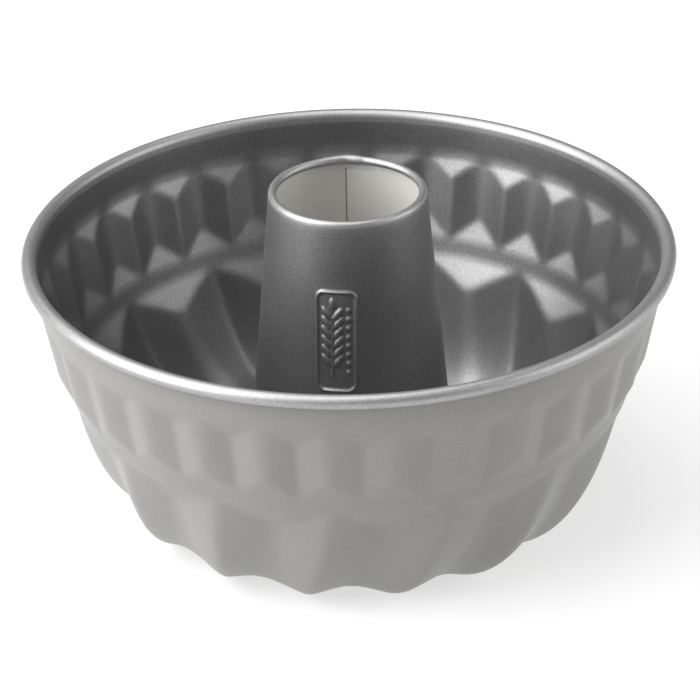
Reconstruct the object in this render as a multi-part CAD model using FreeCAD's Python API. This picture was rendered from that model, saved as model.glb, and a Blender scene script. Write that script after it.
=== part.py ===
"""Bundt pan: a fluted sheet-steel bowl with a wired rim and a seamed-in centre tube.

Millimetres.  The origin is the middle of the circle that the pan stands on, and +Z is up.
Angles run from -Y, the front, towards +X.
"""
import FreeCAD
import Part
import math
import os

# ---- driving dimensions ---------------------------------------------------------------------
SHEET = 0.5                    # sheet thickness of the bowl and of the tube
RIM_DIAMETER = 220.0           # across the rolled rim
RIM_BEAD = 5.0                 # outside diameter of the rolled rim
RIM_HEIGHT = 95.7              # middle of the rolled rim above the table
RIM_CURL_SWEEP = 315.0         # degrees that the rim's sheet is rolled through
WIRE_GAP = 0.05                # between the rim's sheet and the wire inside it

# circles and corners on the cake side of the wall: radius, height
FLUTE_TOP = (104.4, 82.9)      # where the small flutes start
SMALL_GROOVE_TOP = (101.0, 76.9)
SMALL_RIDGE_FOOT = (100.2, 61.4)
BELT_TOP = (96.5, 54.3)        # plain belt between the small and the large flutes
BELT_FOOT = (94.6, 48.1)
LARGE_GROOVE_TOP = (88.4, 39.4)

LARGE_FLUTES = 15              # with two small flutes above each of them
FLUTE_PHASE = -4.9             # angle of one ridge at the belt
LARGE_TWIST = -12.0            # how far the large flutes swirl from the belt to the table
SMALL_CRISPNESS = 0.985        # 1 is a sharp fold, less is a rounder one
LARGE_CRISPNESS = 0.97
RIDGE_EASE = 0.3               # how round the small ridges' folds are where they start
GROOVE_EASE = 0.5              # how round the large grooves' folds become on the way down

# the large flutes' curves: slope at the belt in degrees from upright, how far down it they
# stay straight, radius where they become level under the pan, and how far out they flatten
RIDGE_CURVE = (12.9, 14.5, 62.4, 21.1)
GROOVE_CURVE = (15.8, 17.2, 67.0, 12.6)
GROOVE_LIFT = 5.2              # height of the grooves above the ridges, underneath

SEAM_OUTER = 43.5              # middle of the folded seam's outer bend
SEAM_GAP = 0.03                # between the folded layers
SEAM_BLEND = 45.5              # where the bowl flattens into the seam

TUBE_FOOT_RADIUS = 36.9        # outside of the tube at the table
TUBE_TOP_RADIUS = 26.6         # outside of the tube at its rolled top
TUBE_BEAD = 2.8                # outside diameter of the tube's rolled top
TUBE_BEAD_HEIGHT = 116.2       # middle of the tube's rolled top
TUBE_CURL_SWEEP = 300.0
FOOT_BEND = 0.3                # bend between the tube and its flange
LAP_ANGLE = 180.0              # the tube's lengthwise lap is at the back
LAP_WIDTH = 6.0

BADGE_ANGLE = -9.5             # raised plain badge on the front of the tube
BADGE_WIDTH = 13.0
BADGE_LENGTH = 35.4
BADGE_MIDDLE = 75.7
BADGE_RISE = 0.6
BADGE_EDGE = 4.0               # the badge's corner radius is this much under half its width
LAP_FOOT = 2.5                 # the lap stops clear of the foot bend and of the rolled top
LAP_TOP = 113.0

UP = FreeCAD.Vector(0, 0, 1)
ORIGIN = FreeCAD.Vector(0, 0, 0)
CLOSE = 1e-6                   # ends nearer than this are the same point
SECTOR = 360.0 / LARGE_FLUTES  # one large flute and two small ones
STEPS_ACROSS = 20              # points across a sector
ROWS_SMALL = 12
ROWS_LARGE = 28
CURVE_SHARE = 0.75             # share of those rows on the curves; the rest run in to the seam


# ---- places -----------------------------------------------------------------------------------
def place(radius, height, angle):
    turn = math.radians(angle)
    return FreeCAD.Vector(radius * math.sin(turn), -radius * math.cos(turn), height)


def mix(a, b, share):
    return tuple(p + (q - p) * share for p, q in zip(a, b))


def on_line(a, b, height):
    """The point at a height on the line through two (radius, height) points."""
    return mix(a, b, (height - a[1]) / (b[1] - a[1]))


# ---- the fluted wall --------------------------------------------------------------------------
def ridge_share(angle, pitch, crispness):
    """1 on a ridge and 0 in a groove, with straight flanks and slightly rounded folds."""
    wave = crispness * math.cos(2 * math.pi * angle / pitch)
    return 0.5 + math.asin(wave) / (2 * math.asin(crispness))


def eased(share, ease):
    """Rounds the fold where the share is 0 and leaves the one where it is 1."""
    return (math.hypot(share, ease) - ease) / (math.hypot(1, ease) - ease)


def small_flute_row(share_down):
    """Ridge and groove points, limits of the ridge share, and how round the ridge and groove are."""
    height = FLUTE_TOP[1] + (BELT_TOP[1] - FLUTE_TOP[1]) * share_down
    ridge = on_line(FLUTE_TOP, SMALL_RIDGE_FOOT, height)
    groove = on_line(SMALL_GROOVE_TOP, BELT_TOP, height)
    least = (height - SMALL_GROOVE_TOP[1]) / (FLUTE_TOP[1] - SMALL_GROOVE_TOP[1])
    most = (height - BELT_TOP[1]) / (SMALL_RIDGE_FOOT[1] - BELT_TOP[1])
    return ridge, groove, max(0.0, least), min(1.0, most), RIDGE_EASE * (1 - share_down), 0.0


def flute_curve(start, curve, floor, share_down):
    """A point on a curve that leaves the belt, turns under the pan and runs in to the seam."""
    slope, straight, foot_radius, flat = curve
    lean = math.radians(slope)
    shoulder = (start[0] - straight * math.sin(lean), start[1] - straight * math.cos(lean))
    toe = (foot_radius + flat, floor)
    foot = (foot_radius, floor)
    if share_down < CURVE_SHARE:
        share = share_down / CURVE_SHARE
        upper = mix(start, shoulder, share)
        middle = mix(shoulder, toe, share)
        lower = mix(toe, foot, share)
        return mix(mix(upper, middle, share), mix(middle, lower, share), share)
    inward = (share_down - CURVE_SHARE) / (1 - CURVE_SHARE)
    rise = inward * inward * (3 - 2 * inward)
    return foot_radius + (SEAM_BLEND - foot_radius) * inward, floor + (SEAM_TOP - floor) * rise


def large_flute_row(share_down):
    """The same six values for the large flutes, from the belt to the folded seam."""
    rise = BELT_FOOT[1] - LARGE_GROOVE_TOP[1]
    groove_start = (LARGE_GROOVE_TOP[0] + rise * math.tan(math.radians(GROOVE_CURVE[0])), BELT_FOOT[1])
    ridge = flute_curve(BELT_FOOT, RIDGE_CURVE, SHEET, share_down)
    groove = flute_curve(groove_start, GROOVE_CURVE, SHEET + GROOVE_LIFT, share_down)
    least = (groove[1] - LARGE_GROOVE_TOP[1]) / rise
    return ridge, groove, max(0.0, least), 1.0, 0.0, GROOVE_EASE * min(1.0, share_down / CURVE_SHARE)


def twist_at(radius):
    """The flutes swirl more as they turn under the pan, down to the radius where they are level."""
    return LARGE_TWIST * min(1.0, (BELT_FOOT[0] - radius) / (BELT_FOOT[0] - RIDGE_CURVE[2]))


def wall_grid(flute_row, rows, pitch, crispness, twisted):
    """Cake-side and outside points of one sector of flutes, row by row from the top."""
    cake_side = []
    for row in range(rows + 1):
        ridge, groove, least, most, ridge_ease, groove_ease = flute_row(row / rows)
        points = []
        for step in range(-1, STEPS_ACROSS + 2):
            across = SECTOR * step / STEPS_ACROSS
            share = 1 - eased(1 - ridge_share(across, pitch, crispness), ridge_ease)
            share = min(max(eased(share, groove_ease), least), most)
            radius, height = mix(groove, ridge, share)
            turn = FLUTE_PHASE + across
            if twisted:
                turn += twist_at(ridge[0])
            points.append(place(radius, height, turn))
        cake_side.append(points)
    outside = []
    for row in range(rows + 1):
        points = []
        for step in range(1, STEPS_ACROSS + 2):
            here = cake_side[row][step]
            outward = FreeCAD.Vector(here.x, here.y, 0).normalize()
            if 0 < row < rows:
                across = cake_side[row][step + 1] - cake_side[row][step - 1]
                down = cake_side[row + 1][step] - cake_side[row - 1][step]
                outward = down.cross(across).normalize()
            elif row == rows and twisted:
                outward = -UP
            points.append(here + outward * SHEET)
        outside.append(points)
    return [points[1:-1] for points in cake_side], outside


def fluted_skin(points):
    """A smooth face through rows of points, with its top and bottom edges."""
    surface = Part.BSplineSurface()
    surface.interpolate(points)
    first, last = surface.bounds()[:2]
    return surface.toShape(), surface.uIso(first).toShape(), surface.uIso(last).toShape()


# ---- sections that go all the way round ----------------------------------------------------------
def bend(middle, radius, first, last):
    """An arc of a section, from one angle to the other, as a three-point arc."""
    def at(angle):
        turn = math.radians(angle)
        return FreeCAD.Vector(middle[0] + radius * math.cos(turn), 0, middle[1] + radius * math.sin(turn))
    return at(first), at((first + last) / 2), at(last)


def section(*stretches, closed=False):
    """Edges of a section: corners as (radius, height), bends as three-point arcs."""
    edges = []
    first = end = None
    for stretch in stretches:
        if len(stretch) == 3:
            start, halfway, finish = stretch
        else:
            start = finish = FreeCAD.Vector(stretch[0], 0, stretch[1])
        if end is None:
            first = start
        elif end.distanceToPoint(start) > CLOSE:
            edges.append(Part.LineSegment(end, start).toShape())
        if len(stretch) == 3:
            edges.append(Part.Arc(start, halfway, finish).toShape())
        end = finish
    if closed:
        edges.append(Part.LineSegment(end, first).toShape())
    return edges


def section_ends(edges):
    return edges[0].valueAt(edges[0].FirstParameter), edges[-1].valueAt(edges[-1].LastParameter)


def swept(edges, first, sweep):
    """The section's wire turned about the upright axis from an angle."""
    wire = Part.Wire(edges)
    wire.rotate(ORIGIN, UP, first - 90)
    return wire.revolve(ORIGIN, UP, sweep)


def ring(edges):
    """A solid of revolution from a closed section."""
    return Part.Face(Part.Wire(edges)).revolve(ORIGIN, UP, 360)


def touch_angle(middle, radius, point):
    """Angle at which a line from a point below touches the left side of a circle."""
    across = point[0] - middle[0]
    down = point[1] - middle[1]
    lean = math.degrees(math.atan2(down, across)) % 360
    return lean - math.degrees(math.acos(radius / math.hypot(across, down)))


# ---- worked out from the driving dimensions ------------------------------------------------------
LAYER = SHEET + SEAM_GAP
SEAM_TOP = 3 * LAYER + SHEET
RIM_MIDDLE = (RIM_DIAMETER / 2 - RIM_BEAD / 2, RIM_HEIGHT)
FOLD_OUTSIDE = (2 * LAYER + SHEET) / 2    # bends that take the sheet round one other layer
FOLD_INSIDE = FOLD_OUTSIDE - SHEET
BOWL_FOLD = TUBE_FOOT_RADIUS + SEAM_GAP + FOLD_OUTSIDE
TUBE_BEAD_MIDDLE = (TUBE_TOP_RADIUS - TUBE_BEAD / 2, TUBE_BEAD_HEIGHT)
FOOT_MIDDLE = (TUBE_FOOT_RADIUS + FOOT_BEND, SHEET + FOOT_BEND)


# ---- pieces -----------------------------------------------------------------------------------------
def rim_section():
    """The rolled rim, open where it meets the plain band below it."""
    radius = RIM_BEAD / 2
    start = touch_angle(RIM_MIDDLE, radius, FLUTE_TOP)
    end = start - RIM_CURL_SWEEP
    return section(bend(RIM_MIDDLE, radius, start, end),
                   bend(RIM_MIDDLE, radius - SHEET, end, start))


def hem_section():
    """The bowl's hole edge, folded back under itself, open where it meets the bowl's floor."""
    middle = (BOWL_FOLD, SEAM_TOP - FOLD_OUTSIDE)
    edge = SEAM_OUTER - SHEET
    return section(bend(middle, FOLD_OUTSIDE, 90, 270),
                   (edge, LAYER),
                   (edge, LAYER + SHEET),
                   bend(middle, FOLD_INSIDE, 270, 90))


def sector_arc(point, first):
    """A circle's arc across one sector, through a (radius, 0, height) point of a section."""
    angles = (first, first + SECTOR / 2, first + SECTOR)
    return Part.Arc(*[place(point.x, point.z, angle) for angle in angles]).toShape()


def bowl():
    small_grids = wall_grid(small_flute_row, ROWS_SMALL, SECTOR / 2, SMALL_CRISPNESS, False)
    large_grids = wall_grid(large_flute_row, ROWS_LARGE, SECTOR, LARGE_CRISPNESS, True)
    small, small_outside = [fluted_skin(points) for points in small_grids]
    large, large_outside = [fluted_skin(points) for points in large_grids]
    rim = rim_section()
    hem = hem_section()
    seam_angle = FLUTE_PHASE + LARGE_TWIST
    rim_edges = [sector_arc(point, FLUTE_PHASE) for point in section_ends(rim)]
    hem_edges = [sector_arc(point, seam_angle) for point in section_ends(hem)]
    plain = [(rim_edges[0], small[1]), (rim_edges[1], small_outside[1]),
             (small[2], large[1]), (small_outside[2], large_outside[1]),
             (large[2], hem_edges[0]), (large_outside[2], hem_edges[1])]
    sector = [skin[0] for skin in (small, small_outside, large, large_outside)]
    sector += [Part.makeRuledSurface(above, below) for above, below in plain]
    sector += swept(rim, FLUTE_PHASE, SECTOR).Faces
    sector += swept(hem, seam_angle, SECTOR).Faces
    faces = []
    for turn in range(LARGE_FLUTES):
        for face in sector:
            faces.append(face.rotated(ORIGIN, UP, turn * SECTOR))
    sheet = Part.makeCompound(faces)
    sheet.sewShape()
    return Part.Solid(Part.Shell(sheet.Faces))


def rim_wire():
    return Part.makeTorus(RIM_MIDDLE[0], RIM_BEAD / 2 - SHEET - WIRE_GAP, FreeCAD.Vector(0, 0, RIM_HEIGHT))


def wall_lean():
    """Direction square to the tube's wall, as an angle above level."""
    across = FOOT_MIDDLE[0] - TUBE_BEAD_MIDDLE[0]
    down = FOOT_MIDDLE[1] - TUBE_BEAD_MIDDLE[1]
    reach = TUBE_BEAD / 2 + FOOT_BEND
    return math.degrees(math.atan2(down, across) + math.acos(reach / math.hypot(across, down)))


def tube_section():
    """The tube's wall, its top rolled inwards and its foot hooked round the bowl's hem."""
    lean = wall_lean()
    end = lean + TUBE_CURL_SWEEP
    hook = (SEAM_OUTER, FOLD_OUTSIDE)
    hook_end = BOWL_FOLD + SHEET
    bead = TUBE_BEAD / 2
    return section(bend(TUBE_BEAD_MIDDLE, bead, end, lean),
                   bend(FOOT_MIDDLE, FOOT_BEND, lean + 180, 270),
                   bend(hook, FOLD_INSIDE, -90, 90),
                   (hook_end, 2 * LAYER),
                   (hook_end, 2 * LAYER + SHEET),
                   bend(hook, FOLD_OUTSIDE, 90, -90),
                   bend(FOOT_MIDDLE, FOOT_BEND + SHEET, 270, lean + 180),
                   bend(TUBE_BEAD_MIDDLE, bead - SHEET, lean, end),
                   closed=True)


def tube_sleeve(low, high, inner, outer, first, sweep):
    """Part of a sleeve along the tube's wall, between two offsets from its outside."""
    slope = (TUBE_TOP_RADIUS - TUBE_FOOT_RADIUS) / TUBE_BEAD_HEIGHT
    corners = []
    for height, offset in ((low, inner), (high, inner), (high, outer), (low, outer)):
        corners.append((TUBE_FOOT_RADIUS + slope * height + offset, height))
    face = Part.Face(Part.Wire(section(*corners, closed=True)))
    face.rotate(ORIGIN, UP, first - 90)
    return face.revolve(ORIGIN, UP, sweep)


def rounded_bar(width, length):
    """An upright bar with rounded corners in its front view, running from the axis to the front."""
    depth = 2 * TUBE_FOOT_RADIUS
    corner = width / 2 - BADGE_EDGE
    bar = Part.makeBox(width, depth, length, FreeCAD.Vector(-width / 2, -depth, BADGE_MIDDLE - length / 2))
    upright = [edge for edge in bar.Edges if abs(edge.tangentAt(edge.FirstParameter).y) > 0.5]
    return bar.makeFillet(corner, upright)


def centre_tube():
    tube = ring(tube_section())
    lap_sweep = math.degrees(LAP_WIDTH / TUBE_TOP_RADIUS)
    lap = tube_sleeve(LAP_FOOT, LAP_TOP, -2 * SHEET, -SHEET / 2, LAP_ANGLE - lap_sweep, lap_sweep)
    low = BADGE_MIDDLE - BADGE_LENGTH
    high = BADGE_MIDDLE + BADGE_LENGTH
    raised = tube_sleeve(low, high, -SHEET / 2, BADGE_RISE, -90, 180)
    hollow = tube_sleeve(low, high, -2 * SHEET, BADGE_RISE - SHEET, -90, 180)
    badge = raised.common(rounded_bar(BADGE_WIDTH, BADGE_LENGTH))
    recess = hollow.common(rounded_bar(BADGE_WIDTH - 2 * SHEET, BADGE_LENGTH - 2 * SHEET))
    badge.rotate(ORIGIN, UP, BADGE_ANGLE)
    recess.rotate(ORIGIN, UP, BADGE_ANGLE)
    return tube.fuse([lap, badge]).cut(recess).removeSplitter()


# ---- output ---------------------------------------------------------------------------------------------
PIECES = {
    "bowl": bowl,
    "rim_wire": rim_wire,
    "centre_tube": centre_tube,
}

os.makedirs("parts", exist_ok=True)
for name, make in PIECES.items():
    shape = make()
    solids = shape.Solids
    if len(solids) == 1:
        shape = solids[0]
    box = shape.BoundBox
    print(name, "solids", len(solids), "valid", shape.isValid(), "volume", round(shape.Volume, 1),
          "x", round(box.XMin, 2), round(box.XMax, 2), "y", round(box.YMin, 2), round(box.YMax, 2),
          "z", round(box.ZMin, 3), round(box.ZMax, 3))
    shape.exportStep("parts/" + name + ".step")
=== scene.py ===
"""A bundt pan in two release coats: fluted bowl, rolled and wired rim, and seamed-in centre tube.

Metres, in the CAD model's frame: the pan stands on Z = 0 round the Z axis, with its front at -Y.
Angles run in degrees from the front towards +X.
"""
import bpy
import bmesh
import math
from mathutils import Matrix, Vector


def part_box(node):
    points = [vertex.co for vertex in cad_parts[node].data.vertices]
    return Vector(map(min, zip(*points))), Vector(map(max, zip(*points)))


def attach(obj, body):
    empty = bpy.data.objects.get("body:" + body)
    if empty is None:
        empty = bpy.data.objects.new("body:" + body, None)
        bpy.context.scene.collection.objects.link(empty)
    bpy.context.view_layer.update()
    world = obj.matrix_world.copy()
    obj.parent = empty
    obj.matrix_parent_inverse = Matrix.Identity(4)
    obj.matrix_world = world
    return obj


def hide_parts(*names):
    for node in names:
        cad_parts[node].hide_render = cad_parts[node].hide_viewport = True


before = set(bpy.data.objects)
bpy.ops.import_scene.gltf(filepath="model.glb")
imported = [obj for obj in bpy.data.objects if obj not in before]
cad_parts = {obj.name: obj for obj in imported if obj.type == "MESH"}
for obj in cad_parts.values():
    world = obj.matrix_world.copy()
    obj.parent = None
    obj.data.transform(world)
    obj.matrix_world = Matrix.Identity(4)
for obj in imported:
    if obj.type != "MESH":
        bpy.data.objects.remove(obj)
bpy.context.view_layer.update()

# ---- sizes -------------------------------------------------------------------------------------
MM = 0.001
bowl_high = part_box("bowl")[1]
tube_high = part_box("centre_tube")[1]

SHEET = 0.5 * MM
RIM_RADIUS = bowl_high.x
RIM_BEAD = 2.5 * MM                      # radius of the rolled rim
RIM_MIDDLE = (RIM_RADIUS - RIM_BEAD, bowl_high.z - RIM_BEAD)
RIM_CURL_SWEEP = 315                     # degrees that the rim's sheet is rolled through

# corners of the wall on the cake side: radius, height
FLUTE_TOP = (104.4 * MM, 82.9 * MM)
SMALL_GROOVE_TOP = (101.0 * MM, 76.9 * MM)
SMALL_RIDGE_FOOT = (100.2 * MM, 61.4 * MM)
BELT_TOP = (96.5 * MM, 54.3 * MM)
BELT_FOOT = (94.6 * MM, 48.1 * MM)
LARGE_GROOVE_TOP = (88.4 * MM, 39.4 * MM)

LARGE_FLUTES = 15
SECTOR = 360 / LARGE_FLUTES              # one large flute and two small ones
FLUTE_PHASE = -4.9
LARGE_TWIST = -12.0                      # how far the large flutes swirl from the belt to the table
CRISPNESS = 0.985                        # 1 is a sharp fold, less is a rounder one
CRISPNESS_LOSS = 0.03                    # what the large flutes' folds lose on the way down

# the large flutes' curves: slope at the belt in degrees from upright, how far down it they
# stay straight, radius where they become level under the pan, and how far out they flatten
RIDGE_CURVE = (12.9, 14.5 * MM, 62.4 * MM, 21.1 * MM)
GROOVE_CURVE = (15.8, 17.2 * MM, 67.0 * MM, 12.6 * MM)
GROOVE_LIFT = 5.2 * MM                   # height of the grooves above the ridges, underneath
GROOVE_EASE = 0.5                        # how round the grooves' folds become on the way down
RIDGE_EASE = 0.3                         # how round the small ridges' folds are where they start

LAYER = SHEET + 0.03 * MM                # one layer of the folded seam with its gap
SEAM_TOP = 3 * LAYER + SHEET
FOLD_OUTSIDE = LAYER + SHEET / 2         # bends that take the sheet round one other layer
FOLD_INSIDE = FOLD_OUTSIDE - SHEET
SEAM_OUTER = 43.5 * MM                   # middle of the folded seam's outer bend
SEAM_BLEND = 45.5 * MM                   # where the bowl flattens into the seam

TUBE_FOOT_RADIUS = 36.9 * MM
TUBE_TOP_RADIUS = 26.6 * MM
TUBE_BEAD = 1.4 * MM                     # radius of the tube's rolled top
TUBE_BEAD_HEIGHT = tube_high.z - TUBE_BEAD
TUBE_BEAD_MIDDLE = (TUBE_TOP_RADIUS - TUBE_BEAD, TUBE_BEAD_HEIGHT)
TUBE_CURL_SWEEP = 300
FOOT_BEND = 0.3 * MM                     # bend between the tube and its flange
FOOT_MIDDLE = (TUBE_FOOT_RADIUS + FOOT_BEND, SHEET + FOOT_BEND)
BOWL_FOLD = TUBE_FOOT_RADIUS + LAYER - SHEET + FOLD_OUTSIDE

BADGE_ANGLE = -9.5
BADGE_WIDTH = 13.0 * MM
BADGE_LENGTH = 35.4 * MM
BADGE_MIDDLE = 75.7 * MM
BADGE_RISE = 0.6 * MM
BADGE_MARGIN = 1.0 * MM                  # room round the badge for the foot of its raised line
BADGE_CORNER = 2.6 * MM
BADGE_LINE = 0.8 * MM                    # half the width of the badge's raised frame

# what is pressed inside the badge's frame, from its middle: across is to the right, along is up
SEED_COUNT = 8
SEED_ACROSS = 4.1 * MM
SEED_LOWEST = -11.2 * MM
SEED_PITCH = 3.2 * MM
SEED_LENGTH = 1.1 * MM
SEED_WIDTH = 0.85 * MM
SEED_SHARE = 0.8                         # how high a seed stands, beside a grain of the ear
EAR_ACROSS = -1.3 * MM
STALK_FOOT = -13.5 * MM
STALK_TOP = 9 * MM
STALK_WIDTH = 0.55 * MM                  # half of it, like the lengths and widths of the grains
STALK_SHARE = 0.7
GRAIN_PAIRS = 6
GRAIN_ACROSS = 2.0 * MM
GRAIN_LOWEST = -7.0 * MM
GRAIN_PITCH = 3.4 * MM
GRAIN_TILT = 34
GRAIN_LENGTH = 2.7 * MM
GRAIN_WIDTH = 1.1 * MM
TIP_ALONG = 13.2 * MM
TIP_LENGTH = 2.5 * MM

LAP_ANGLE = 180.7                        # the tube's lengthwise lap is at the back
LAP_STEP = 0.6 * MM                      # how far the sheet end in the bore stands off the wall
LAP_SHEET = 0.42 * MM                    # thinner than the step, so a dark gap shows behind it
LAP_SINK = 0.04 * MM                     # how far the far side of the strip is sunk into the wall
LAP_CHAMFER = 0.2                        # share of the step that is left at the cut end
LAP_SQUARES = 60                         # squares each way in the strip
LAP_SWEEP = 60.0                         # degrees round the tube that it takes to sink back into it
LAP_FOOT = 2.5 * MM
LAP_TOP = 112.4 * MM
LAP_REACH = 30.0                         # degrees each side that the lap makes less round
LAP_PEAK = 0.9 * MM                      # how far the wall stands out at the lap

JOINT_ANGLE = 170.5                      # the rolled top's ends meet here, one a little thicker
JOINT_SWELL = 0.2                        # share that the thicker end adds to the roll's radius
JOINT_SWEEP = 30.0                       # degrees over which it fades

# rows of points down each sheet, and columns round it
CURL_ROWS = 18
BAND_ROWS = 3
SMALL_ROWS = 20
BELT_ROWS = 3
LARGE_ROWS = 42
SEAM_ROWS = 3
FOLD_ROWS = 6
BOWL_COLUMNS = 32 * LARGE_FLUTES
TUBE_CURL_ROWS = 14
ABOVE_BADGE_ROWS = 8
BADGE_ROWS = 100
BELOW_BADGE_ROWS = 20
FOOT_ROWS = 3
TUBE_COLUMNS = 256
COLUMN_CROWDING = 0.62                   # 0 spaces the tube's columns evenly
CURVE_SHARE = 0.75                       # share of the large flutes' rows on their curves
FOLD_SOFTNESS = 0.05                     # 0 makes the triangles' edges sharp
DOUBLES = 0.001 * MM                     # points nearer than this are merged
SHARP_ANGLE = 50                         # faces that meet at more than this aren't shaded as one


# ---- outlines ----------------------------------------------------------------------------------
def mix(a, b, share):
    return tuple(p + (q - p) * share for p, q in zip(a, b))


def on_line(a, b, height):
    """The point at a height on the line through two (radius, height) points."""
    return mix(a, b, (height - a[1]) / (b[1] - a[1]))


def between(a, b, rows):
    """Points on a straight stretch, without its two ends."""
    return [mix(a, b, row / rows) for row in range(1, rows)]


def bend(middle, radius, first, last, rows):
    """Points round a bend from one angle to the other, in degrees above level."""
    points = []
    for row in range(rows + 1):
        turn = math.radians(first + (last - first) * row / rows)
        points.append((middle[0] + radius * math.cos(turn), middle[1] + radius * math.sin(turn)))
    return points


def touch_angle(middle, radius, point):
    """Angle at which a line from a point below touches the left side of a circle."""
    across = point[0] - middle[0]
    down = point[1] - middle[1]
    lean = math.degrees(math.atan2(down, across)) % 360
    return lean - math.degrees(math.acos(radius / math.hypot(across, down)))


def soft_max(a, b, softness):
    return 0.5 * (a + b + math.hypot(a - b, softness))


def soft_min(a, b, softness):
    return 0.5 * (a + b - math.hypot(a - b, softness))


# ---- the fluted wall ---------------------------------------------------------------------------
def ridge_share(angle, pitch, crispness):
    """1 on a ridge and 0 in a groove, with straight flanks and slightly rounded folds."""
    wave = crispness * math.cos(2 * math.pi * angle / pitch)
    return 0.5 + math.asin(wave) / (2 * math.asin(crispness))


def eased(share, ease):
    """Rounds the fold where the share is 0 and leaves the one where it is 1."""
    return (math.hypot(share, ease) - ease) / (math.hypot(1, ease) - ease)


def plain_row(point):
    """A row with no flutes, so its ridge and its groove are one point."""
    return {"ridge": point, "groove": point, "least": 0, "most": 1, "pitch": SECTOR,
            "crisp": CRISPNESS, "ridge_ease": 0, "groove_ease": 0, "twist": 0}


def small_flute_row(share_down):
    """A row from the top of the small flutes to the belt, with the limits of its ridge share."""
    height = FLUTE_TOP[1] + (BELT_TOP[1] - FLUTE_TOP[1]) * share_down
    return {
        "ridge": on_line(FLUTE_TOP, SMALL_RIDGE_FOOT, height),
        "groove": on_line(SMALL_GROOVE_TOP, BELT_TOP, height),
        "least": (height - SMALL_GROOVE_TOP[1]) / (FLUTE_TOP[1] - SMALL_GROOVE_TOP[1]),
        "most": (height - BELT_TOP[1]) / (SMALL_RIDGE_FOOT[1] - BELT_TOP[1]),
        "pitch": SECTOR / 2,
        "crisp": CRISPNESS,
        "ridge_ease": RIDGE_EASE * (1 - share_down),
        "groove_ease": 0,
        "twist": 0,
    }


def flute_curve(start, curve, floor, share_down):
    """A point on a curve that leaves the belt, turns under the pan and runs in to the seam."""
    slope, straight, foot_radius, flat = curve
    lean = math.radians(slope)
    shoulder = (start[0] - straight * math.sin(lean), start[1] - straight * math.cos(lean))
    toe = (foot_radius + flat, floor)
    foot = (foot_radius, floor)
    if share_down < CURVE_SHARE:
        share = share_down / CURVE_SHARE
        upper = mix(start, shoulder, share)
        middle = mix(shoulder, toe, share)
        lower = mix(toe, foot, share)
        return mix(mix(upper, middle, share), mix(middle, lower, share), share)
    inward = (share_down - CURVE_SHARE) / (1 - CURVE_SHARE)
    rise = inward * inward * (3 - 2 * inward)
    return foot_radius + (SEAM_BLEND - foot_radius) * inward, floor + (SEAM_TOP - floor) * rise


def large_flute_row(share_down):
    """A row from the belt to the folded seam."""
    rise = BELT_FOOT[1] - LARGE_GROOVE_TOP[1]
    groove_start = (LARGE_GROOVE_TOP[0] + rise * math.tan(math.radians(GROOVE_CURVE[0])), BELT_FOOT[1])
    ridge = flute_curve(BELT_FOOT, RIDGE_CURVE, SHEET, share_down)
    groove = flute_curve(groove_start, GROOVE_CURVE, SHEET + GROOVE_LIFT, share_down)
    inward = (BELT_FOOT[0] - ridge[0]) / (BELT_FOOT[0] - RIDGE_CURVE[2])
    return {
        "ridge": ridge,
        "groove": groove,
        "least": (groove[1] - LARGE_GROOVE_TOP[1]) / rise,
        "most": 1,
        "pitch": SECTOR,
        "crisp": CRISPNESS - CRISPNESS_LOSS * share_down,
        "ridge_ease": 0,
        "groove_ease": GROOVE_EASE * min(1, share_down / CURVE_SHARE),
        "twist": LARGE_TWIST * min(1, inward),
    }


def bowl_rows():
    """Every row of the bowl's cake side, from the end of the rim's curl to the end of the hem."""
    start = touch_angle(RIM_MIDDLE, RIM_BEAD, FLUTE_TOP)
    curl = bend(RIM_MIDDLE, RIM_BEAD, start - RIM_CURL_SWEEP, start, CURL_ROWS)
    rows = [plain_row(point) for point in curl + between(curl[-1], FLUTE_TOP, BAND_ROWS)]
    rows += [small_flute_row(row / SMALL_ROWS) for row in range(SMALL_ROWS + 1)]
    rows += [plain_row(point) for point in between(BELT_TOP, BELT_FOOT, BELT_ROWS)]
    rows += [large_flute_row(row / LARGE_ROWS) for row in range(LARGE_ROWS + 1)]
    fold = bend((BOWL_FOLD, SEAM_TOP - FOLD_OUTSIDE), FOLD_OUTSIDE, 90, 270, FOLD_ROWS)
    rows += [plain_row(point) for point in between((SEAM_BLEND, SEAM_TOP), fold[0], SEAM_ROWS)]
    rows += [plain_row(point) for point in fold + [(SEAM_OUTER - SHEET, LAYER)]]
    return rows


def wall_place(row, across):
    """Where the cake side is, on one row at an angle across the flutes."""
    share = 1 - eased(1 - ridge_share(across, row["pitch"], row["crisp"]), row["ridge_ease"])
    share = eased(share, row["groove_ease"])
    share = soft_max(share, row["least"], FOLD_SOFTNESS)
    share = soft_min(share, row["most"], FOLD_SOFTNESS)
    radius, height = mix(row["groove"], row["ridge"], min(max(share, 0), 1))
    return radius, height, FLUTE_PHASE + across + row["twist"]


# ---- sheet-metal work --------------------------------------------------------------------------
def turned(radius, height, angle):
    turn = math.radians(angle)
    return Vector((radius * math.sin(turn), -radius * math.cos(turn), height))


def spun_sheet(outline, columns, first):
    """An outline spun once round the upright axis.  Each point keeps the number of its row."""
    mesh = bmesh.new()
    row_of = mesh.verts.layers.int.new("row")
    points = [mesh.verts.new(turned(radius, height, first)) for radius, height in outline]
    for row, point in enumerate(points):
        point[row_of] = row
    lines = [mesh.edges.new(pair) for pair in zip(points, points[1:])]
    bmesh.ops.spin(mesh, geom=points + lines, cent=(0, 0, 0), axis=(0, 0, 1), dvec=(0, 0, 0),
                   angle=2 * math.pi, steps=columns, use_merge=True, use_duplicate=False)
    bmesh.ops.remove_doubles(mesh, verts=mesh.verts, dist=DOUBLES)
    return mesh, row_of


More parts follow.
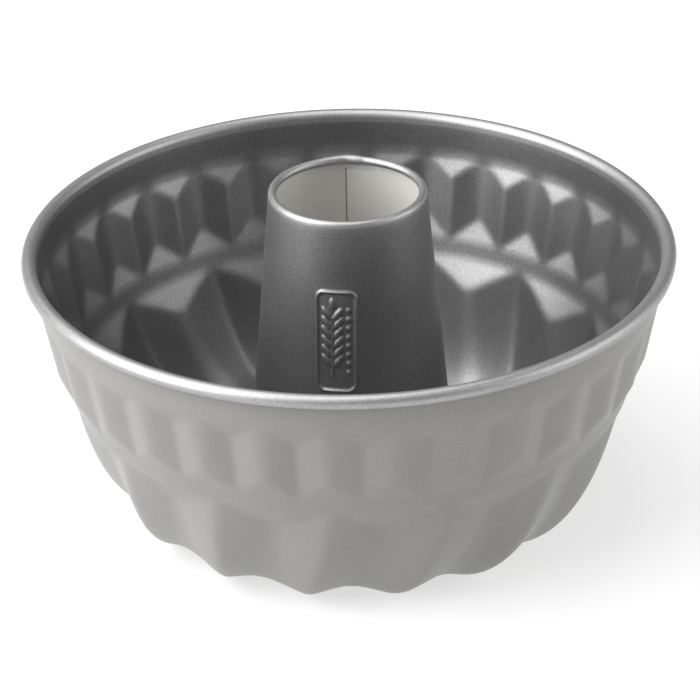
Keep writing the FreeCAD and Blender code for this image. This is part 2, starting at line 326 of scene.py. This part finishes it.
def thickened(mesh, sample_row, row_of, towards_axis):
    """Turns the cake side to its own side and gives the sheet its wall and its other coat."""
    bmesh.ops.recalc_face_normals(mesh, faces=mesh.faces)
    sample_rows = (sample_row, sample_row + 1)
    sample = next(face for face in mesh.faces if all(point[row_of] in sample_rows for point in face.verts))
    middle = sample.calc_center_median()
    faces_axis = sample.normal.x * middle.x + sample.normal.y * middle.y < 0
    if faces_axis != towards_axis:
        bmesh.ops.reverse_faces(mesh, faces=mesh.faces)
    cake_side = set(mesh.faces)
    bmesh.ops.solidify(mesh, geom=mesh.faces[:], thickness=SHEET)
    for face in mesh.faces:
        face.smooth = True
        face.material_index = 0 if face in cake_side else 1


def finished(mesh, name, coats, slot, *nodes):
    """Puts a piece in the scene on the pan's one body."""
    data = bpy.data.meshes.new(name)
    mesh.to_mesh(data)
    mesh.free()
    data.set_sharp_from_angle(angle=math.radians(SHARP_ANGLE))
    piece = bpy.data.objects.new(name, data)
    bpy.context.scene.collection.objects.link(piece)
    for coat in coats:
        data.materials.append(coat)
    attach(piece, "root")
    if nodes:
        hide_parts(*nodes)
    return piece


# ---- bowl --------------------------------------------------------------------------------------
def fluted_bowl(coats):
    rows = bowl_rows()
    mesh, row_of = spun_sheet([row["ridge"] for row in rows], BOWL_COLUMNS, FLUTE_PHASE)
    for point in mesh.verts:
        across = math.degrees(math.atan2(point.co.x, -point.co.y)) - FLUTE_PHASE
        point.co = turned(*wall_place(rows[point[row_of]], across))
    thickened(mesh, CURL_ROWS + 1, row_of, towards_axis=True)
    return finished(mesh, "fluted_bowl", coats, "outer_coating", "bowl")


# ---- centre tube -------------------------------------------------------------------------------
def wall_lean():
    """Direction square to the tube's wall, in degrees above level."""
    across = FOOT_MIDDLE[0] - TUBE_BEAD_MIDDLE[0]
    down = FOOT_MIDDLE[1] - TUBE_BEAD_MIDDLE[1]
    reach = TUBE_BEAD + FOOT_BEND
    return math.degrees(math.atan2(down, across) + math.acos(reach / math.hypot(across, down)))


def tube_bends():
    """The tube's rolled top and the bend at its foot.  The straight wall runs between them."""
    lean = wall_lean()
    curl = bend(TUBE_BEAD_MIDDLE, TUBE_BEAD, lean + TUBE_CURL_SWEEP, lean, TUBE_CURL_ROWS)
    return curl, bend(FOOT_MIDDLE, FOOT_BEND, lean + 180, 270, FOOT_ROWS)


def tube_outline():
    """The tube's cake side, from the end of the rolled top to the end of the hook in the seam."""
    curl, foot = tube_bends()
    hook = bend((SEAM_OUTER, FOLD_OUTSIDE), FOLD_INSIDE, -90, 90, FOLD_ROWS)
    badge_top = on_line(curl[-1], foot[0], BADGE_MIDDLE + BADGE_LENGTH / 2 + BADGE_MARGIN)
    badge_foot = on_line(curl[-1], foot[0], BADGE_MIDDLE - BADGE_LENGTH / 2 - BADGE_MARGIN)
    wall = between(curl[-1], badge_top, ABOVE_BADGE_ROWS)
    wall += [badge_top] + between(badge_top, badge_foot, BADGE_ROWS) + [badge_foot]
    wall += between(badge_foot, foot[0], BELOW_BADGE_ROWS)
    return curl + wall + foot + hook + [(BOWL_FOLD + SHEET, 2 * LAYER)]


def bump_line(distance, width):
    """A rounded raised line: 1 in its middle and 0 beyond its width."""
    reach = min(abs(distance) / width, 1)
    return (1 - reach * reach) ** 2


def rounded_box(across, along, half_width, half_length, corner):
    """Signed distance to a rounded rectangle's edge."""
    x = abs(across) - half_width + corner
    y = abs(along) - half_length + corner
    return math.hypot(max(x, 0), max(y, 0)) + min(max(x, y), 0) - corner


def grain(across, along, tilt, length, width):
    """A pressed grain of corn: a rounded dome that is longer than it is wide."""
    turn = math.radians(tilt)
    x = across * math.cos(turn) - along * math.sin(turn)
    y = across * math.sin(turn) + along * math.cos(turn)
    reach = math.hypot(x / width, y / length)
    return math.sqrt(1 - reach * reach) if reach < 1 else 0


def badge_relief(across, along):
    """Height of the pressed badge, in shares of its rise: a frame round seeds and an ear of wheat."""
    frame_line = rounded_box(across, along, BADGE_WIDTH / 2, BADGE_LENGTH / 2, BADGE_CORNER)
    relief = bump_line(frame_line, BADGE_LINE)
    for seed in range(SEED_COUNT):
        above_seed = along - SEED_LOWEST - seed * SEED_PITCH
        dome = grain(across - SEED_ACROSS, above_seed, 0, SEED_LENGTH, SEED_WIDTH)
        relief = max(relief, SEED_SHARE * dome)
    beside_stalk = across - EAR_ACROSS
    if STALK_FOOT < along < STALK_TOP:
        relief = max(relief, STALK_SHARE * bump_line(beside_stalk, STALK_WIDTH))
    for pair in range(GRAIN_PAIRS):
        above_pair = along - GRAIN_LOWEST - pair * GRAIN_PITCH
        for side in (-1, 1):
            beside_grain = beside_stalk - side * GRAIN_ACROSS
            dome = grain(beside_grain, above_pair, GRAIN_TILT * side, GRAIN_LENGTH, GRAIN_WIDTH)
            relief = max(relief, dome)
    return max(relief, grain(beside_stalk, along - TIP_ALONG, 0, TIP_LENGTH, GRAIN_WIDTH))


def tube_angle(share):
    """Angle of a column: close together at the badge and wide apart at the back."""
    return BADGE_ANGLE + 180 * (share * (1 - COLUMN_CROWDING) + COLUMN_CROWDING * share ** 3)


def lap_peak(angle):
    """How far the wall stands out near the lap, because a rolled sheet's ends stay straight."""
    away = abs((angle - LAP_ANGLE + 180) % 360 - 180) / LAP_REACH
    return LAP_PEAK * (1 - away) ** 2 if away < 1 else 0


def lap_strip(coats):
    """The tube's sheet end on the bore side of its lap, sinking into the wall away from the lap."""
    curl, foot = tube_bends()
    mesh = bmesh.new()
    bmesh.ops.create_grid(mesh, x_segments=LAP_SQUARES, y_segments=LAP_SQUARES, size=0.5)
    last_column = 0.5 - 1 / LAP_SQUARES
    cut_end_painted_shade = [face for face in mesh.faces if face.calc_center_median().x > last_column]
    for point in mesh.verts:
        height = LAP_FOOT + (LAP_TOP - LAP_FOOT) * (point.co.y + 0.5)
        share = point.co.x + 0.5
        angle = LAP_ANGLE - LAP_SWEEP * (1 - share)
        step = LAP_CHAMFER * LAP_STEP if share > 1 - 0.5 / LAP_SQUARES else LAP_STEP * share ** 2
        radius = on_line(curl[-1], foot[0], height)[0] - SHEET - step + LAP_SINK
        radius += lap_peak(angle) * height / TUBE_BEAD_HEIGHT
        point.co = turned(radius, height, angle)
    bmesh.ops.recalc_face_normals(mesh, faces=mesh.faces)
    if next(iter(mesh.faces)).normal.y > 0:
        bmesh.ops.reverse_faces(mesh, faces=mesh.faces)
    bmesh.ops.solidify(mesh, geom=mesh.faces[:], thickness=LAP_SHEET)
    for face in mesh.faces:
        face.smooth = True
        # painted shade: the strip's cut end takes the darker grey coat, for the dark line of shade in the
        # gap at the lap's edge
        face.material_index = 1 if face in cut_end_painted_shade else 0
    return finished(mesh, "tube_lap", coats, "inner_coating")


def centre_tube(coats):
    lean = math.radians(wall_lean())
    outward_rise = math.sin(lean)
    outline = tube_outline()
    mesh, row_of = spun_sheet(outline, TUBE_COLUMNS, 0)
    for point in mesh.verts:
        column = math.degrees(math.atan2(point.co.x, -point.co.y)) / 180
        radius, height = outline[point[row_of]]
        angle = tube_angle(column)
        if point[row_of] < TUBE_CURL_ROWS:
            swell = 1 + JOINT_SWELL * max(0, 1 - (angle - JOINT_ANGLE) % 360 / JOINT_SWEEP)
            radius, height = mix(TUBE_BEAD_MIDDLE, (radius, height), swell)
        if height > FOOT_MIDDLE[1]:
            radius += lap_peak(angle) * min(1, height / TUBE_BEAD_HEIGHT)
        across = math.radians(angle - BADGE_ANGLE) * radius
        along = (height - BADGE_MIDDLE) / math.cos(lean)
        if rounded_box(across, along, BADGE_WIDTH / 2, BADGE_LENGTH / 2, 0) < BADGE_MARGIN:
            rise = BADGE_RISE * badge_relief(across, along)
            radius += rise
            height += rise * outward_rise
        point.co = turned(radius, height, angle)
    thickened(mesh, TUBE_CURL_ROWS + 1, row_of, towards_axis=False)
    return finished(mesh, "centre_tube_sheet", coats, "inner_coating", "centre_tube")


# ---- coats -------------------------------------------------------------------------------------
class Link:
    """A socket of a coat's nodes, which can be used in sums."""

    def __init__(self, coat, socket):
        self.coat = coat
        self.socket = socket

    def sum(self, operation, first, second):
        return self.coat.add("ShaderNodeMath", {0: first, 1: second}, operation=operation)

    def __add__(self, other):
        return self.sum("ADD", self, other)

    def __radd__(self, other):
        return self.sum("ADD", other, self)

    def __sub__(self, other):
        return self.sum("SUBTRACT", self, other)

    def __rsub__(self, other):
        return self.sum("SUBTRACT", other, self)

    def __mul__(self, other):
        return self.sum("MULTIPLY", self, other)

    def __rmul__(self, other):
        return self.sum("MULTIPLY", other, self)


class Coat:
    """One material, built up from nodes that read the piece's own place."""

    def __init__(self, name, **surface):
        self.material = bpy.data.materials.new(name)
        self.material.use_nodes = True
        self.tree = self.material.node_tree
        self.surface = self.tree.nodes["Principled BSDF"]
        self.place = self.add("ShaderNodeTexCoord", output="Object")
        self.set(**surface)

    def add(self, kind, values=None, output=0, **settings):
        """Adds a node: its settings first, then the values or links of its sockets."""
        node = self.tree.nodes.new(kind)
        for name, value in settings.items():
            setattr(node, name, value)
        for name, value in (values or {}).items():
            self.feed(node.inputs[name], value)
        return Link(self, node.outputs[output])

    def feed(self, socket, value):
        if isinstance(value, Link):
            self.tree.links.new(value.socket, socket)
        else:
            socket.default_value = value

    def set(self, **values):
        """Feeds sockets of the surface; an underscore in a name stands for a space."""
        for name, value in values.items():
            self.feed(self.surface.inputs[name.replace("_", " ")], value)

    def noise(self, per_metre, detail=2.0, roughness=0.5):
        values = {"Vector": self.place, "Scale": per_metre, "Detail": detail, "Roughness": roughness}
        return self.add("ShaderNodeTexNoise", values)

    def between(self, value, low, high):
        """0 below low and 1 above high, smooth in between."""
        values = {"Value": value, "From Min": low, "From Max": high}
        return self.add("ShaderNodeMapRange", values, interpolation_type="SMOOTHSTEP")

    def blend(self, share, first, second):
        """The first colour at 0 and the second at 1."""
        values = {0: share, 6: first, 7: second}
        return self.add("ShaderNodeMix", values, output=2, data_type="RGBA")

    def bump(self, height, depth, strength=1.0, under=None):
        values = {"Height": height, "Distance": depth, "Strength": strength}
        if under:
            values["Normal"] = under
        return self.add("ShaderNodeBump", values)


# the darkest and the lightest tone of each finish's specks; two of the sets are painted light, as marked
DARK = ((0.16, 0.16, 0.16, 1), (0.26, 0.26, 0.26, 1))
# painted highlight: lighter tones that stand in for the sheen on the rolled rim and the tube's rolled top
EDGE_HIGHLIGHT_TONES = ((0.27, 0.27, 0.27, 1), (0.39, 0.39, 0.39, 1))
GREY = ((0.192, 0.189, 0.180, 1), (0.232, 0.229, 0.218, 1))
# painted light: the bore's greige coat made lighter to stand in for the light that falls into the bore;
# its real coat is the oven side's
LIT_BORE_TONES = ((0.55, 0.545, 0.52, 1), (0.64, 0.635, 0.605, 1))
STEEL = ((0.42, 0.42, 0.43, 1), (0.62, 0.62, 0.63, 1))

FLAKES_PER_METRE = 3200.0
SPECKS_PER_METRE = 1300.0
PEEL_PER_METRE = 300.0
CLOUDS_PER_METRE = 35.0
DRAWN_LINES_PER_METRE = 1500.0
PEEL_DEPTH = 0.03 * MM
DRAWN_DEPTH = 0.02 * MM
HIGHLIGHT_BLEND = 1.2 * MM                    # height over which a painted highlight fades in towards a rolled edge


def release_coat(name, tones, metallic, roughness, depth, highlight_above=None):
    """A sprayed release coat with metal flake: fine specks, faint clouds and a light orange peel.

    Above a height, where one is given, the colour turns lighter on the rolled edge: a painted highlight.
    """
    coat = Coat(name, Metallic=metallic)
    flake = coat.noise(FLAKES_PER_METRE, 2.0, 0.6)
    specks = coat.noise(SPECKS_PER_METRE, 3.0, 0.6)
    clouds = coat.noise(CLOUDS_PER_METRE, 3.0, 0.5)
    tone = coat.between(flake * 0.5 + specks * 0.35 + clouds * 0.15, 0.35, 0.65)
    colour = coat.blend(tone, *tones)
    # painted highlight: above the height the colour blends to the lighter tones, for the sheen on the
    # rolled edge
    if highlight_above:
        height = coat.add("ShaderNodeSeparateXYZ", {"Vector": coat.place}, output="Z")
        highlight_share = coat.between(height, highlight_above, highlight_above + HIGHLIGHT_BLEND)
        colour = coat.blend(highlight_share, colour, coat.blend(tone, *EDGE_HIGHLIGHT_TONES))
    peel = coat.bump(coat.noise(PEEL_PER_METRE), PEEL_DEPTH, 0.25)
    coat.set(Base_Color=colour,
             Roughness=roughness + 0.06 * (flake - 0.5) + 0.05 * (clouds - 0.5),
             Normal=coat.bump(specks, depth, 0.3, peel))
    return coat.material


def drawn_wire():
    """Plain steel wire with the fine lines that drawing leaves along it."""
    coat = Coat("drawn_steel_wire", Metallic=1.0)
    lines = coat.noise(DRAWN_LINES_PER_METRE, 2.0, 0.6)
    coat.set(Base_Color=coat.blend(lines, *STEEL),
             Roughness=0.3 + 0.15 * lines,
             Normal=coat.bump(lines, DRAWN_DEPTH, 0.4))
    return coat.material


# ---- floor, light and camera -------------------------------------------------------------------
FLOOR_REACH = 6.0
FLOOR_GREY = 0.36
FLOOR_GLOW = 0.62                        # the floor shines a little, so that it stays white in shade
SKY_STRENGTH = 0.25
LIT_POINT = (0, 0, 0.05)


def pale_floor():
    mesh = bmesh.new()
    bmesh.ops.create_grid(mesh, x_segments=1, y_segments=1, size=FLOOR_REACH)
    data = bpy.data.meshes.new("floor")
    mesh.to_mesh(data)
    mesh.free()
    floor = bpy.data.objects.new("floor", data)
    bpy.context.scene.collection.objects.link(floor)
    coat = Coat("pale_floor", Base_Color=(FLOOR_GREY, FLOOR_GREY, FLOOR_GREY, 1), Roughness=0.9,
                Specular_IOR_Level=0.1, Emission_Color=(1, 1, 1, 1), Emission_Strength=FLOOR_GLOW)
    data.materials.append(coat.material)


def soft_light(name, place, size, power):
    """A square softbox that faces the pan."""
    lamp = bpy.data.lights.new(name, "AREA")
    lamp.size = size
    lamp.energy = power
    box = bpy.data.objects.new(name, lamp)
    bpy.context.scene.collection.objects.link(box)
    box.location = place
    box.rotation_euler = (Vector(place) - Vector(LIT_POINT)).to_track_quat("Z", "Y").to_euler()


def studio():
    world = bpy.data.worlds.new("studio")
    bpy.context.scene.world = world
    world.use_nodes = True
    sky = world.node_tree.nodes["Background"].inputs
    sky["Color"].default_value = (1, 1, 1, 1)
    sky["Strength"].default_value = SKY_STRENGTH
    soft_light("softbox_above", place=(-0.5, 0.1, 1.6), size=2.0, power=35)
    soft_light("softbox_left", place=(-1.8, -0.6, 1.05), size=2.2, power=86)
    soft_light("softbox_right", place=(1.9, -0.25, 0.8), size=1.8, power=24)
    bpy.context.scene.view_settings.view_transform = "Standard"


def camera():
    """Looks down at the pan's front from just left of it."""
    azimuth, elevation, roll = math.radians(0.66), math.radians(28.19), math.radians(-1.09)
    distance = 1.1905
    target = Vector((-0.0002, 0, 0.0565))
    view = Vector((math.sin(azimuth) * math.cos(elevation), math.cos(azimuth) * math.cos(elevation),
                   -math.sin(elevation)))
    lens = bpy.data.cameras.new("camera")
    lens.lens = 179.1
    lens.sensor_width = 36
    viewer = bpy.data.objects.new("camera", lens)
    bpy.context.scene.collection.objects.link(viewer)
    turn = (-view).to_track_quat("Z", "Y").to_matrix() @ Matrix.Rotation(roll, 3, "Z")
    viewer.location = target - view * distance
    viewer.rotation_euler = turn.to_euler()
    bpy.context.scene.camera = viewer


# ---- the pan -----------------------------------------------------------------------------------
# both dark coats carry a painted highlight on the rolled rim and on the tube's rolled top
bowl_coat = release_coat("dark_bowl_coat", DARK, metallic=0.85, roughness=0.45, depth=0.02 * MM,
                         highlight_above=RIM_MIDDLE[1] - 2.0 * MM)
tube_coat = release_coat("dark_tube_coat", DARK, metallic=0.85, roughness=0.45, depth=0.02 * MM,
                         highlight_above=TUBE_BEAD_HEIGHT - 1.0 * MM)
grey_coat = release_coat("warm_grey_oven_side_coat", GREY, metallic=0.15, roughness=0.38, depth=0.015 * MM)
# painted light: the bore's coat is lighter than the oven side's, for the light that falls into the bore
painted_light_bore_coat = release_coat("warm_grey_bore_coat_painted_light", LIT_BORE_TONES, metallic=0.1, roughness=0.45, depth=0.015 * MM)
fluted_bowl((bowl_coat, grey_coat))
centre_tube((tube_coat, painted_light_bore_coat))
lap_strip((painted_light_bore_coat, grey_coat))
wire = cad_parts["rim_wire"]
wire.data.materials.clear()
wire.data.materials.append(drawn_wire())
pale_floor()
studio()
camera()
